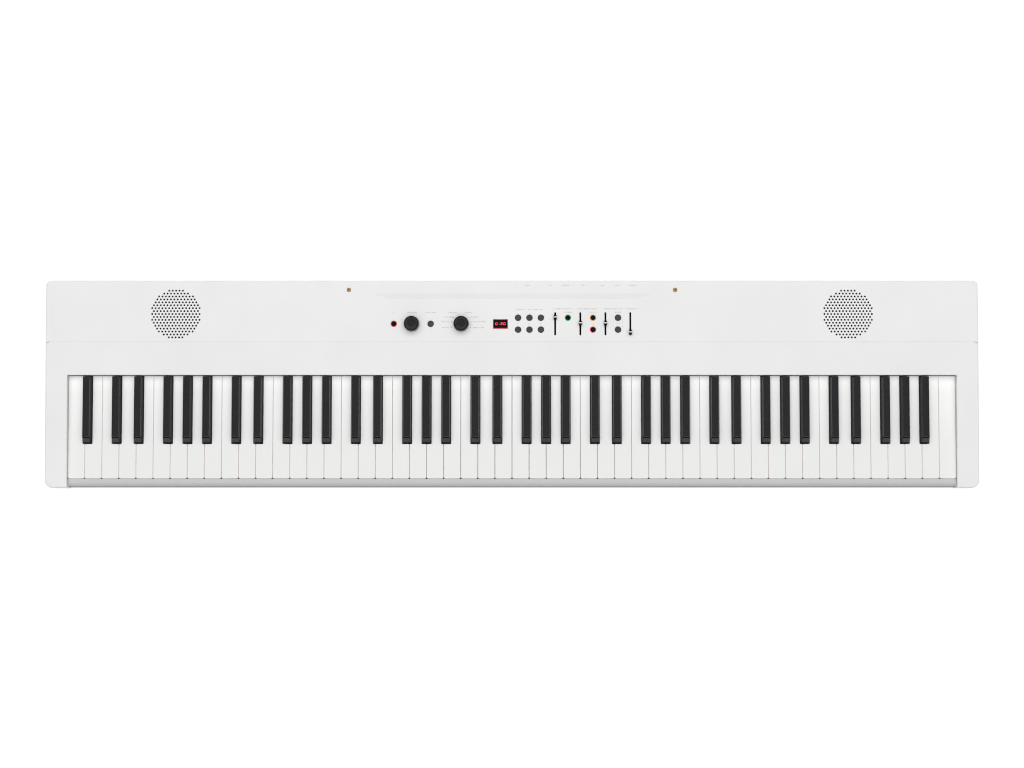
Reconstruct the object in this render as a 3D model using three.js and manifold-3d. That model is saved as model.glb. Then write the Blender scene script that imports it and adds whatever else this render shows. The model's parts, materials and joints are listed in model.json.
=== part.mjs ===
// A slim 88-key digital piano, lying flat on its four feet.
// Millimetres. X to the player's right, Y towards the back, Z up.
// The origin is on the resting surface, at the middle of the plan.

import * as THREE from 'three';
import { mergeVertices } from 'three/addons/utils/BufferGeometryUtils.js';
import Module from 'manifold-3d';

const wasm = await Module();
wasm.setup();

// ---- Driving dimensions ---------------------------------------------------

const WIDTH = 1282;
const FRONT_Y = -143.6;
const REAR_Y = 143.6;
const REAR_CORNER = 8.5;
const FRONT_CORNER = 11;
const WALL = 3;
const TOUCH = 0.3;            // clearance left between pieces that rest on each other
const ARC_STEPS = 5;          // facets in a quarter turn of a housing corner

const FOOT_HEIGHT = 5;
const PARTING_Z = 24;         // where the bottom case meets the upper covers
const PANEL_Z = 61;           // top of the control panel
const CHEEK_FRONT_Z = 54;     // top of the end blocks at their front
const KNOB_TOP_Z = 73;

const SEAM_Y = 57;          // joint line between the control panel and the key surround
const SLOT_Y = 11.4;          // where the keys go under the surround
const BLACK_FRONT_Y = -82.2;
const WHITE_FRONT_Y = -130.6;

const PITCH = 23.5;           // width of one white key with its gap
const KEY_GAP = 0.7;
const WHITE_COUNT = 52;
const BLACK_WIDTH = 12.1;
const BLACK_TOP_WIDTH = 9.6;
const BLACK_SHIFT = 3.4;      // how far the outer black keys of a group lean away
const WHITE_Z = 48;
const BLACK_Z = 60;
const KEY_UNDER_Z = 36;
const KEYBED_HALF = PITCH * WHITE_COUNT / 2;   // half the length of the keyboard

const CONTROL_Y = 81.8;       // centre line of the controls
const UPPER_ROW_Y = 90.2;
const LOWER_ROW_Y = 73.8;
const KNOB_RADIUS = 10.8;
const KNOB_SEGMENTS = 24;
const BUTTON_RADIUS = 4;
const BUTTON_SEGMENTS = 12;
const SLOT_HALF_LENGTH = 16;
const SLOT_HALF_WIDTH = 1.25;
const GRILLE_X = 462;
const GRILLE_Y = 95.3;

// ---- Materials ------------------------------------------------------------

function paint(color, roughness, metalness = 0) {
  return new THREE.MeshStandardMaterial({ color, roughness, metalness });
}

const MATERIAL = {
  shell: paint(0xf0f0ef, 0.45),
  rail: paint(0xd2d2d2, 0.5),
  whiteKey: paint(0xf4f4f1, 0.3),
  blackKey: paint(0x2c2c2f, 0.4),
  knob: paint(0x2b2c2e, 0.45),
  button: paint(0x47454c, 0.5),
  litButton: paint(0x101011, 0.35),
  brass: paint(0xb08d4c, 0.35, 1),
  frame: paint(0x3a3a3d, 0.6),
  board: paint(0x1f5a38, 0.5),
  speaker: paint(0x222222, 0.6),
  display: paint(0x120608, 0.1),
  rubber: paint(0x1c1c1c, 0.9),
};

// ---- Solid helpers --------------------------------------------------------

const ROUND_SEGMENTS = 20;

function toSolid(geometry) {
  const plain = geometry.clone();
  plain.deleteAttribute('normal');
  plain.deleteAttribute('uv');
  const merged = mergeVertices(plain, 1e-4);
  return new wasm.Manifold(new wasm.Mesh({
    numProp: 3,
    vertProperties: new Float32Array(merged.attributes.position.array),
    triVerts: new Uint32Array(merged.index.array),
  }));
}

function toGeometry(solid) {
  const mesh = solid.getMesh();
  const geometry = new THREE.BufferGeometry();
  geometry.setAttribute('position', new THREE.BufferAttribute(new Float32Array(mesh.vertProperties), 3));
  geometry.setIndex(new THREE.BufferAttribute(new Uint32Array(mesh.triVerts), 1));
  geometry.computeVertexNormals();
  return geometry;
}

// A block given by its lowest and highest coordinate on each axis.
function block([x0, x1], [y0, y1], [z0, z1]) {
  const geometry = new THREE.BoxGeometry(x1 - x0, y1 - y0, z1 - z0);
  geometry.translate((x0 + x1) / 2, (y0 + y1) / 2, (z0 + z1) / 2);
  return toSolid(geometry);
}

// An upright cylinder or cone.
function drum(x, y, [z0, z1], radius, topRadius = radius, segments = ROUND_SEGMENTS) {
  const geometry = new THREE.CylinderGeometry(topRadius, radius, z1 - z0, segments);
  geometry.rotateX(Math.PI / 2);
  geometry.translate(x, y, (z0 + z1) / 2);
  return toSolid(geometry);
}

// A cylinder lying along Y.
function barrel(x, z, [y0, y1], radius, segments = ROUND_SEGMENTS) {
  const geometry = new THREE.CylinderGeometry(radius, radius, y1 - y0, segments);
  geometry.translate(x, (y0 + y1) / 2, z);
  return toSolid(geometry);
}

// A plan outline raised from z0 to z1.
function raise(shape, [z0, z1]) {
  const settings = { depth: z1 - z0, bevelEnabled: false, curveSegments: ARC_STEPS };
  const geometry = new THREE.ExtrudeGeometry(shape, settings);
  geometry.translate(0, 0, z0);
  return toSolid(geometry);
}

// A side profile, given as [y, z] points, run from x0 to x1.
function runAcross(profile, [x0, x1]) {
  const shape = new THREE.Shape(profile.map(([y, z]) => new THREE.Vector2(y, z)));
  const geometry = new THREE.ExtrudeGeometry(shape, { depth: x1 - x0, bevelEnabled: false });
  geometry.applyMatrix4(new THREE.Matrix4().makeBasis(
    new THREE.Vector3(0, 1, 0), new THREE.Vector3(0, 0, 1), new THREE.Vector3(1, 0, 0)));
  geometry.translate(x0, 0, 0);
  return toSolid(geometry);
}

function joinAll(solids) {
  return solids.reduce((sum, next) => sum.add(next));
}

// A rectangle with its own radius at the front and at the rear corners.
function cornered([x0, x1], [y0, y1], frontRadius, rearRadius) {
  const shape = new THREE.Shape();
  shape.moveTo(x0 + frontRadius, y0);
  shape.lineTo(x1 - frontRadius, y0);
  shape.absarc(x1 - frontRadius, y0 + frontRadius, frontRadius, -Math.PI / 2, 0);
  shape.lineTo(x1, y1 - rearRadius);
  shape.absarc(x1 - rearRadius, y1 - rearRadius, rearRadius, 0, Math.PI / 2);
  shape.lineTo(x0 + rearRadius, y1);
  shape.absarc(x0 + rearRadius, y1 - rearRadius, rearRadius, Math.PI / 2, Math.PI);
  shape.lineTo(x0, y0 + frontRadius);
  shape.absarc(x0 + frontRadius, y0 + frontRadius, frontRadius, Math.PI, 1.5 * Math.PI);
  return shape;
}

const HALF = WIDTH / 2;
const group = new THREE.Group();

function addPart(name, solid, material) {
  const mesh = new THREE.Mesh(toGeometry(solid), material);
  mesh.name = name;
  group.add(mesh);
}

// ---- Where the keys lie ---------------------------------------------------

const NOTE_LETTERS = ['a', 'b', 'c', 'd', 'e', 'f', 'g'];
const SHARPS = { c: -BLACK_SHIFT, d: BLACK_SHIFT, f: -BLACK_SHIFT, g: 0, a: BLACK_SHIFT };

function layOutKeys() {
  const whites = [];
  const blacks = [];
  for (let i = 0; i < WHITE_COUNT; i += 1) {
    const letter = NOTE_LETTERS[i % 7];
    const octave = Math.floor((i + 5) / 7);
    const left = -KEYBED_HALF + PITCH * i;
    whites.push({ name: `${letter}${octave}`, octave, left, right: left + PITCH });
    if (letter in SHARPS && i < WHITE_COUNT - 1) {
      blacks.push({ name: `${letter}_sharp_${octave}`, octave, x: left + PITCH + SHARPS[letter] });
    }
  }
  return { whites, blacks };
}

const { whites, blacks } = layOutKeys();

// The lowest notes belong to the first octave's unit, the highest note to the last one's.
const FIRST_OCTAVE = 1;
const LAST_OCTAVE = 7;
const SINGLE_OCTAVE = 4;
const unitOf = (key) => Math.min(Math.max(key.octave, FIRST_OCTAVE), LAST_OCTAVE);

// ---- Keys -----------------------------------------------------------------

const SHANK_CLEARANCE = 0.8;
const SHANK_TOP_Z = 44;       // white shank under the surround
const BLACK_SHANK = [41.3, 46];
const WHITE_BAR = { y: [84, 95], z: [KEY_UNDER_Z, 40.4] };
const BLACK_BAR = { y: [98, 106], z: BLACK_SHANK };
const BLACK_SLOPE = 8.5;      // length of the sloping front of a black key
const NARROWING = (BLACK_WIDTH - BLACK_TOP_WIDTH) / 2;

function whiteKey(key) {
  const left = key.left + KEY_GAP / 2;
  const right = key.right - KEY_GAP / 2;
  const reach = BLACK_WIDTH / 2 + SHANK_CLEARANCE;
  const leftBlack = blacks.find((black) => Math.abs(black.x - key.left) < PITCH / 3);
  const rightBlack = blacks.find((black) => Math.abs(black.x - key.right) < PITCH / 3);
  const shankLeft = leftBlack ? leftBlack.x + reach : left;
  const shankRight = rightBlack ? rightBlack.x - reach : right;
  const headLength = [WHITE_FRONT_Y, BLACK_FRONT_Y - SHANK_CLEARANCE];
  const head = block([left, right], headLength, [KEY_UNDER_Z, WHITE_Z]);
  const shank = block([shankLeft, shankRight], [BLACK_FRONT_Y - 2, SLOT_Y + 6], [KEY_UNDER_Z, WHITE_Z]);
  const tailLength = [SLOT_Y + 5, WHITE_BAR.y[1]];
  const tail = block([shankLeft + 1, shankRight - 1], tailLength, [KEY_UNDER_Z, SHANK_TOP_Z]);
  return joinAll([head, shank, tail]);
}

// The cap of a black key: sides that lean in and a front that slopes down.
function blackCap(x) {
  const rear = SLOT_Y - 2;
  const profile = [
    [BLACK_FRONT_Y, KEY_UNDER_Z + 4],
    [BLACK_FRONT_Y, WHITE_Z + 1],
    [BLACK_FRONT_Y + BLACK_SLOPE, BLACK_Z],
    [rear, BLACK_Z],
    [rear, KEY_UNDER_Z + 4],
  ];
  const body = runAcross(profile, [x - BLACK_WIDTH / 2, x + BLACK_WIDTH / 2]);
  const section = new THREE.Shape([
    new THREE.Vector2(-BLACK_WIDTH / 2, KEY_UNDER_Z),
    new THREE.Vector2(BLACK_WIDTH / 2, KEY_UNDER_Z),
    new THREE.Vector2(BLACK_WIDTH / 2, WHITE_Z + 1),
    new THREE.Vector2(BLACK_WIDTH / 2 - NARROWING, BLACK_Z),
    new THREE.Vector2(NARROWING - BLACK_WIDTH / 2, BLACK_Z),
    new THREE.Vector2(-BLACK_WIDTH / 2, WHITE_Z + 1),
  ]);
  const length = SLOT_Y - BLACK_FRONT_Y + 10;
  const envelope = new THREE.ExtrudeGeometry(section, { depth: length, bevelEnabled: false });
  envelope.rotateX(Math.PI / 2);
  envelope.translate(x, SLOT_Y + 5, 0);
  return body.intersect(toSolid(envelope));
}

function blackKey(key) {
  const tail = block([key.x - 4, key.x + 4], [SLOT_Y - 8, BLACK_BAR.y[1]], BLACK_SHANK);
  return blackCap(key.x).add(tail);
}

// The strip that joins the tails of one unit's keys.
function unitBar(ends, bar) {
  return block([Math.min(...ends), Math.max(...ends)], bar.y, bar.z);
}

function addKeys() {
  for (let octave = FIRST_OCTAVE; octave <= LAST_OCTAVE; octave += 1) {
    const octaveWhites = whites.filter((key) => unitOf(key) === octave);
    const octaveBlacks = blacks.filter((key) => unitOf(key) === octave);
    if (octave === SINGLE_OCTAVE) {
      octaveWhites.forEach((key) => addPart(`key_${key.name}`, whiteKey(key), MATERIAL.whiteKey));
      octaveBlacks.forEach((key) => addPart(`key_${key.name}`, blackKey(key), MATERIAL.blackKey));
    } else {
      const whiteEnds = octaveWhites.flatMap((key) => [key.left + KEY_GAP, key.right - KEY_GAP]);
      const blackEnds = octaveBlacks.map((key) => key.x);
      const whiteUnit = joinAll([...octaveWhites.map(whiteKey), unitBar(whiteEnds, WHITE_BAR)]);
      const blackUnit = joinAll([...octaveBlacks.map(blackKey), unitBar(blackEnds, BLACK_BAR)]);
      addPart(`white_keys_${octave}`, whiteUnit, MATERIAL.whiteKey);
      addPart(`black_keys_${octave}`, blackUnit, MATERIAL.blackKey);
    }
  }
}

// ---- Housing --------------------------------------------------------------

const FLOOR_Z = FOOT_HEIGHT + WALL;
const UNDERCUT = 9;           // how far the bottom edge is cut back
const PAST_SIDES = [-HALF - 1, HALF + 1];
const INNER_SIDES = [WALL - HALF, HALF - WALL];
const CASE_FRONT_Y = FRONT_Y + 1;   // the case is set back a little under the end blocks

function bottomCase() {
  const plan = cornered([-HALF, HALF], [CASE_FRONT_Y, REAR_Y], FRONT_CORNER, REAR_CORNER);
  const wedge = [
    [FRONT_Y - 1, FOOT_HEIGHT - 1],
    [FRONT_Y + UNDERCUT + 1, FOOT_HEIGHT - 1],
    [FRONT_Y - 1, FOOT_HEIGHT + UNDERCUT + 1],
  ];
  const rearWedge = wedge.map(([y, z]) => [-y, z]).reverse();
  const inset = WALL + UNDERCUT;
  const hollowDepth = [FRONT_Y + inset, REAR_Y - inset];
  const hollow = raise(cornered(INNER_SIDES, hollowDepth, 4, 4), [FLOOR_Z, PARTING_Z + 1]);
  return raise(plan, [FOOT_HEIGHT, PARTING_Z])
    .subtract(runAcross(wedge, PAST_SIDES))
    .subtract(runAcross(rearWedge, PAST_SIDES))
    .subtract(hollow);
}

const COVER_Z = PARTING_Z + TOUCH;
const JACK_WINDOW = { x: [7, 181], z: [28, 48] };
const SOCKET_X = 224.4;
const SOCKET_Y = 128.5;
const SPEAKER_RADIUS = 34;
const SPEAKER_SEGMENTS = 24;

const knobXs = { volume: -137.9, selector: -69.9 };
const sliderXs = [59.3, 93.9, 128.4, 162.6];
const buttons = [
  { name: 'power_button', x: -162.4, y: CONTROL_Y, lit: true },
  { name: 'function_button', x: -111.8, y: CONTROL_Y },
  { name: 'effect_button', x: 76.8, y: UPPER_ROW_Y, lit: true },
  { name: 'metronome_button', x: 111.3, y: UPPER_ROW_Y, lit: true },
  { name: 'record_button', x: 111.3, y: LOWER_ROW_Y, lit: true },
  { name: 'octave_up_button', x: 145.6, y: UPPER_ROW_Y },
  { name: 'octave_down_button', x: 145.6, y: LOWER_ROW_Y },
];
const SELECT_COLUMNS = [8.3, 24.0, 39.7];
SELECT_COLUMNS.forEach((x, column) => {
  buttons.push({ name: `select_button_${column + 1}`, x, y: UPPER_ROW_Y });
  buttons.push({ name: `select_button_${column + 4}`, x, y: LOWER_ROW_Y });
});

const DISPLAY = { x: [-26.2, -5.6], y: [74.9, 88.1], lip: 0.4 };

function sliderSlot(x, heights) {
  const width = [x - SLOT_HALF_WIDTH, x + SLOT_HALF_WIDTH];
  const length = [CONTROL_Y - SLOT_HALF_LENGTH, CONTROL_Y + SLOT_HALF_LENGTH];
  return raise(cornered(width, length, SLOT_HALF_WIDTH, SLOT_HALF_WIDTH), heights);
}

const LIP_Z = WHITE_Z + 2;    // lower edge of the walls that the keys pass beneath
const REAR_LEAN = 2;          // how far the rear wall leans forward at its top

function topCover() {
  const outer = raise(cornered([-HALF, HALF], [SEAM_Y, REAR_Y], 0.01, REAR_CORNER), [COVER_Z, PANEL_Z]);
  const innerDepth = [SEAM_Y + WALL, REAR_Y - WALL - REAR_LEAN];
  const inner = block(INNER_SIDES, innerDepth, [COVER_Z - 1, PANEL_Z - WALL]);
  const overKeys = [-KEYBED_HALF - WALL, KEYBED_HALF + WALL];
  const underKeys = block(overKeys, [SEAM_Y - 1, SEAM_Y + WALL + 1], [COVER_Z - 1, LIP_Z]);
  const leanProfile = [[REAR_Y - REAR_LEAN, PANEL_Z + 1], [REAR_Y + 1, PANEL_Z + 1], [REAR_Y + 1, COVER_Z]];
  const through = [PANEL_Z - WALL - 1, PANEL_Z + 1];
  const jackWindow = block(JACK_WINDOW.x, [REAR_Y - 8, REAR_Y + 1], JACK_WINDOW.z);
  const round = (x, y, radius) => drum(x, y, through, radius, radius, BUTTON_SEGMENTS);
  const openings = [
    ...Object.values(knobXs).map((x) => round(x, CONTROL_Y, 4)),
    ...sliderXs.map((x) => sliderSlot(x, through)),
    ...buttons.map((button) => round(button.x, button.y, BUTTON_RADIUS + 0.4)),
    block(DISPLAY.x, DISPLAY.y, through),
    ...[-SOCKET_X, SOCKET_X].map((x) => round(x, SOCKET_Y, 3)),
    musicRestGroove(),
  ];
  return outer.subtract(inner).subtract(underKeys).subtract(runAcross(leanProfile, PAST_SIDES))
    .subtract(jackWindow).subtract(joinAll(openings));
}

// A shallow step that the lower edge of a music rest stands in.
function musicRestGroove() {
  const depth = 1.2;
  const front = { half: 175, y: 116.9 };
  const rear = { half: 197.4, y: 124.8 };
  const outline = new THREE.Shape([
    new THREE.Vector2(-front.half, front.y),
    new THREE.Vector2(front.half, front.y),
    new THREE.Vector2(rear.half, rear.y),
    new THREE.Vector2(-rear.half, rear.y),
  ]);
  return raise(outline, [PANEL_Z - depth, PANEL_Z + 1]);
}

// The U-shaped surround: a strip behind the keys and an end block on each side.
function keySurround() {
  const rear = SEAM_Y - TOUCH;
  const keybed = [-KEYBED_HALF - 0.4, KEYBED_HALF + 0.4];
  const below = COVER_Z - 1;
  const above = PANEL_Z + 2;
  const outer = raise(cornered([-HALF, HALF], [FRONT_Y, rear], FRONT_CORNER, 4), [COVER_Z, PANEL_Z]);
  const slope = [
    [FRONT_Y - 1, CHEEK_FRONT_Z],
    [rear + 1, PANEL_Z - 0.5],
    [rear + 1, above],
    [FRONT_Y - 1, above],
  ];
  const keySpace = block(keybed, [FRONT_Y - 1, SLOT_Y], [below, above]);
  const underStrip = block(keybed, [SLOT_Y - 1, rear + 1], [below, LIP_Z]);
  const stripHollow = block(keybed, [SLOT_Y + WALL, rear + 1], [below, PANEL_Z - WALL - 2]);
  const cheekHollow = (side) => {
    const span = [(keybed[1] + WALL) * side, (HALF - WALL) * side].sort((a, b) => a - b);
    return block(span, [FRONT_Y + 2 * WALL, rear - WALL], [below, CHEEK_FRONT_Z - WALL]);
  };
  return outer.subtract(runAcross(slope, PAST_SIDES)).subtract(keySpace).subtract(underStrip)
    .subtract(stripHollow).subtract(cheekHollow(1)).subtract(cheekHollow(-1));
}

// The low rail in front of the white keys, between the end blocks. Its top rolls over towards the player.
function frontRail() {
  const front = CASE_FRONT_Y;
  const keySide = WHITE_FRONT_Y - 0.5;
  const profile = [
    [front, COVER_Z],
    [front + WALL, COVER_Z],
    [front + WALL, 33],
    [keySide - WALL, 38],
    [keySide - WALL, 30],
    [keySide, 30],
    [keySide, 46.7],
    [keySide - 0.7, 47.2],
    [front + 8, 46.8],
    [front + 4, 45.3],
    [front + 2.3, 43.2],
    [front + 1.3, 39.5],
    [front, 31],
  ];
  return runAcross(profile, [-KEYBED_HALF, KEYBED_HALF]);
}

// ---- Inside ---------------------------------------------------------------

function keyChassis() {
  const length = [6 - KEYBED_HALF, KEYBED_HALF - 6];
  const plateTop = FLOOR_Z + TOUCH + 2.5;
  const plate = block(length, [-118, 100], [FLOOR_Z + TOUCH, plateTop]);
  const pivotRail = block(length, [86, 94], [plateTop - 1, KEY_UNDER_Z - 0.4]);
  const guideRail = block(length, [-112, -106], [plateTop - 1, 25]);
  const tiltedRib = block(length, [-40, -36], [plateTop - 1, 17]);
  return joinAll([plate, pivotRail, guideRail, tiltedRib]);
}

function contactBoard() {
  const board = block([10 - KEYBED_HALF, KEYBED_HALF - 10], [22, 58], [19, 20.6]);
  const domes = block([14 - KEYBED_HALF, KEYBED_HALF - 14], [36, 44], [20.5, 32]);
  const standoff = (x) => block([x - 4, x + 4], [26, 32], [11.2, 19.5]);
  return joinAll([board, domes, ...[-540, 0, 540].map(standoff)]);
}

function mainBoard() {
  const board = block([-185, 186], [62, 110], [50, 51.6]);
  const processor = block([-40, -16], [98, 108], [51.5, 53.6]);
  return board.add(processor);
}

function speaker(x) {
  const under = PANEL_Z - WALL;
  const radius = SPEAKER_RADIUS;
  const rim = drum(x, GRILLE_Y, [under - 2.3, under - TOUCH], radius, radius, SPEAKER_SEGMENTS);
  const basket = drum(x, GRILLE_Y, [under - 10, under - 2], 14, radius - 3, SPEAKER_SEGMENTS);
  const cone = drum(x, GRILLE_Y, [under - 6.5, under + 1], 8, radius - 6, SPEAKER_SEGMENTS);
  return rim.add(basket).subtract(cone);
}

// ---- Rear connectors ------------------------------------------------------

const JACK_Z = 38;
const JACK_FACE_Y = 139;
const JACK_BACK_Y = 124;
const phoneJacks = [53.0, 73.6, 98.5];
const JACKS = { pedal: 21.2, device: 124.7, host: 145.3, power: 166.0 };

function jackBlock() {
  const body = block([8, 180], [JACK_BACK_Y, JACK_FACE_Y], [28.5, 47.5]);
  const depth = [JACK_BACK_Y + 2, JACK_FACE_Y + 1];
  const pocket = (x, width, height) => {
    return block([x - width / 2, x + width / 2], depth, [JACK_Z - height / 2, JACK_Z + height / 2]);
  };
  const cuts = [
    ...phoneJacks.map((x) => barrel(x, JACK_Z, depth, 3.3, 12)),
    pocket(JACKS.pedal, 14, 7),
    pocket(JACKS.device, 8.6, 7.8),
    pocket(JACKS.host, 13, 5.6),
    barrel(JACKS.power, JACK_Z, depth, 3, 12),
  ];
  const centrePin = barrel(JACKS.power, JACK_Z, [JACK_BACK_Y + 1, JACK_FACE_Y - 2], 0.9, 8);
  return body.subtract(joinAll(cuts)).add(centrePin);
}

// ---- Controls -------------------------------------------------------------

const BOARD_TOP_Z = 51.6;
const STEM_GAP = 0.6;
const BUTTON_TRAVEL = 1;

function knob(x) {
  const radius = KNOB_RADIUS;
  const skirt = drum(x, CONTROL_Y, [PANEL_Z + TOUCH, KNOB_TOP_Z], radius, radius - 0.8, KNOB_SEGMENTS);
  const recess = [KNOB_TOP_Z - 0.8, KNOB_TOP_Z + 1];
  const dish = drum(x, CONTROL_Y, recess, radius - 2.8, radius - 2.2, KNOB_SEGMENTS);
  const pointerLength = [CONTROL_Y + radius - 6.6, CONTROL_Y + radius - 2.9];
  const pointer = block([x - 0.5, x + 0.5], pointerLength, [KNOB_TOP_Z - 0.9, KNOB_TOP_Z - 0.4]);
  const shaft = drum(x, CONTROL_Y, [BOARD_TOP_Z + STEM_GAP, PANEL_Z + 1], 3, 3, 12);
  return skirt.subtract(dish).add(pointer).add(shaft);
}

function button({ x, y }) {
  const under = PANEL_Z - WALL;
  const cap = drum(x, y, [under + 0.4, PANEL_Z + 2.3], BUTTON_RADIUS, BUTTON_RADIUS - 0.4, BUTTON_SEGMENTS);
  const stem = drum(x, y, [BOARD_TOP_Z + STEM_GAP + BUTTON_TRAVEL, under + 1], 2, 2, 6);
  return cap.add(stem);
}

const CAP_HALF_LENGTH = 3.5;
const CAP_HALF_WIDTH = 2.6;
const SLIDER_REST = [8.8, 0.7, 0.7, -11.8];   // how far each cap stands from the middle of its slot

function sliderCap(x, offset) {
  const y = CONTROL_Y + offset;
  const profile = [
    [y - CAP_HALF_LENGTH, PANEL_Z + 0.5], [y + CAP_HALF_LENGTH, PANEL_Z + 0.5],
    [y + CAP_HALF_LENGTH - 0.6, PANEL_Z + 4.6], [y + 0.8, PANEL_Z + 7.2],
    [y - 0.8, PANEL_Z + 7.2], [y - CAP_HALF_LENGTH + 0.6, PANEL_Z + 4.6],
  ];
  const cap = runAcross(profile, [x - CAP_HALF_WIDTH, x + CAP_HALF_WIDTH]);
  const blade = block([x - 0.75, x + 0.75], [y - 1.6, y + 1.6], [BOARD_TOP_Z + STEM_GAP, PANEL_Z + 1]);
  return cap.add(blade);
}

function displayModule() {
  const [x0, x1] = DISPLAY.x;
  const [y0, y1] = DISPLAY.y;
  const under = PANEL_Z - WALL;
  const lip = DISPLAY.lip;
  const pane = block([x0 + lip, x1 - lip], [y0 + lip, y1 - lip], [under - 1, PANEL_Z - TOUCH]);
  const carrier = block([x0 - 2, x1 + 2], [y0 - 2, y1 + 2], [BOARD_TOP_Z + TOUCH, under - TOUCH]);
  return pane.add(carrier);
}

function restSocket(x) {
  const sleeve = drum(x, SOCKET_Y, [48, PANEL_Z - TOUCH], 2.7, 2.7, 16);
  const bore = drum(x, SOCKET_Y, [50, PANEL_Z + 1], 1.9, 1.9, 12);
  return sleeve.subtract(bore);
}

const FOOT_X = 560;
const FOOT_Y = 112;

function foot(x, y) {
  return drum(x, y, [0, FOOT_HEIGHT - TOUCH], 11, 12.5, 24);
}

// ---- Assembly -------------------------------------------------------------

addPart('bottom_case', bottomCase(), MATERIAL.shell);
addPart('top_cover', topCover(), MATERIAL.shell);
addPart('key_surround', keySurround(), MATERIAL.shell);
addPart('front_rail', frontRail(), MATERIAL.rail);
addPart('key_chassis', keyChassis(), MATERIAL.frame);
addPart('key_contact_board', contactBoard(), MATERIAL.board);
addPart('main_circuit_board', mainBoard(), MATERIAL.board);
addPart('speaker_left', speaker(-GRILLE_X), MATERIAL.speaker);
addPart('speaker_right', speaker(GRILLE_X), MATERIAL.speaker);
addPart('display_module', displayModule(), MATERIAL.display);
addPart('rear_jack_block', jackBlock(), MATERIAL.frame);
addPart('rest_socket_left', restSocket(-SOCKET_X), MATERIAL.brass);
addPart('rest_socket_right', restSocket(SOCKET_X), MATERIAL.brass);

addPart('foot_front_left', foot(-FOOT_X, -FOOT_Y), MATERIAL.rubber);
addPart('foot_front_right', foot(FOOT_X, -FOOT_Y), MATERIAL.rubber);
addPart('foot_rear_left', foot(-FOOT_X, FOOT_Y), MATERIAL.rubber);
addPart('foot_rear_right', foot(FOOT_X, FOOT_Y), MATERIAL.rubber);

addPart('volume_knob', knob(knobXs.volume), MATERIAL.knob);
addPart('selector_knob', knob(knobXs.selector), MATERIAL.knob);
sliderXs.forEach((x, index) => {
  addPart(`slider_${index + 1}`, sliderCap(x, SLIDER_REST[index]), MATERIAL.knob);
});
buttons.forEach((item) => {
  addPart(item.name, button(item), item.lit ? MATERIAL.litButton : MATERIAL.button);
});
addKeys();

export default group;
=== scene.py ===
"""Looks of a slim white digital piano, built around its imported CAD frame. Metres throughout."""

import json
import math

import bmesh
import bpy
from mathutils import Matrix, Vector
from mathutils.geometry import delaunay_2d_cdt


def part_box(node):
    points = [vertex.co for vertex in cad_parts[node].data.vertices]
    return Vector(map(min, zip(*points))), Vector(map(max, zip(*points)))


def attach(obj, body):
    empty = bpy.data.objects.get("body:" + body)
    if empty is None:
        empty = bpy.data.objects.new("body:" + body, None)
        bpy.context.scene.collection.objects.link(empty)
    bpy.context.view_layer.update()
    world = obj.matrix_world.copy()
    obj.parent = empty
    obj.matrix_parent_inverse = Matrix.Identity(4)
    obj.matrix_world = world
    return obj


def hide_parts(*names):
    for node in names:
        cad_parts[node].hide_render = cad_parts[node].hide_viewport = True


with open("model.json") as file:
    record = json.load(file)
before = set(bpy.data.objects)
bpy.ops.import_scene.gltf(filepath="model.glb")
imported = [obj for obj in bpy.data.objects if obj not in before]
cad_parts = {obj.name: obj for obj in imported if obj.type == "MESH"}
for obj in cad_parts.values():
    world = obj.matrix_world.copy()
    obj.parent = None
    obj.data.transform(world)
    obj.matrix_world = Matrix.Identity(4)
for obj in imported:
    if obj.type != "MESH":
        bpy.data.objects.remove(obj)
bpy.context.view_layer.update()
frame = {"nodes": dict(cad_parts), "record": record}

MM = 0.001
HOUSING = "housing"
body_of_node = {
    node: body for body, nodes in frame["record"]["behaviour"]["bodies"].items() for node in nodes
}


# ---- Camera ----

CAMERA_DISTANCE = 2.62
CAMERA_ELEVATION = math.radians(86.6)
CAMERA_LENS = 66.84
CAMERA_AIM = Vector((0.0, -0.0003, 0.048))


def add_camera():
    camera = bpy.data.objects.new("camera", bpy.data.cameras.new("camera"))
    back = Vector((0, -math.cos(CAMERA_ELEVATION), math.sin(CAMERA_ELEVATION)))
    camera.location = CAMERA_AIM + back * CAMERA_DISTANCE
    camera.rotation_mode = "QUATERNION"
    camera.rotation_quaternion = (-back).to_track_quat("-Z", "Y")
    camera.data.lens = CAMERA_LENS
    camera.data.sensor_width = 36
    camera.data.clip_end = 60
    bpy.context.scene.collection.objects.link(camera)
    bpy.context.scene.camera = camera


# ---- Places taken from the frame ----

def middle(node):
    low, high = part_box(node)
    return (low + high) / 2


def half_width(node):
    low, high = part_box(node)
    return (high.x - low.x) / 2


cover_low, cover_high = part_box("top_cover")
surround_low, surround_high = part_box("key_surround")
case_low, case_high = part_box("bottom_case")
rail_low, rail_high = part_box("front_rail")
white_low, white_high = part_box("key_c4")
black_low, black_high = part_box("key_c_sharp_4")

HALF_WIDTH = cover_high.x
PANEL_Z = cover_high.z
SEAM_Y = cover_low.y
REAR_Y = case_high.y
FRONT_Y = surround_low.y
CASE_FRONT_Y = case_low.y
FRONT_CORNER = 11 * MM
REAR_CORNER = 8.5 * MM
WALL = 3 * MM
KEYBED_HALF = rail_high.x
PITCH = middle("key_d4").x - middle("key_c4").x
KEY_GAP = PITCH - (white_high.x - white_low.x)
BLACK_WIDTH = black_high.x - black_low.x
SLOT_Y = 11.4 * MM
CONTROL_Y = middle("volume_knob").y


# ---- Materials ----

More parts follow.
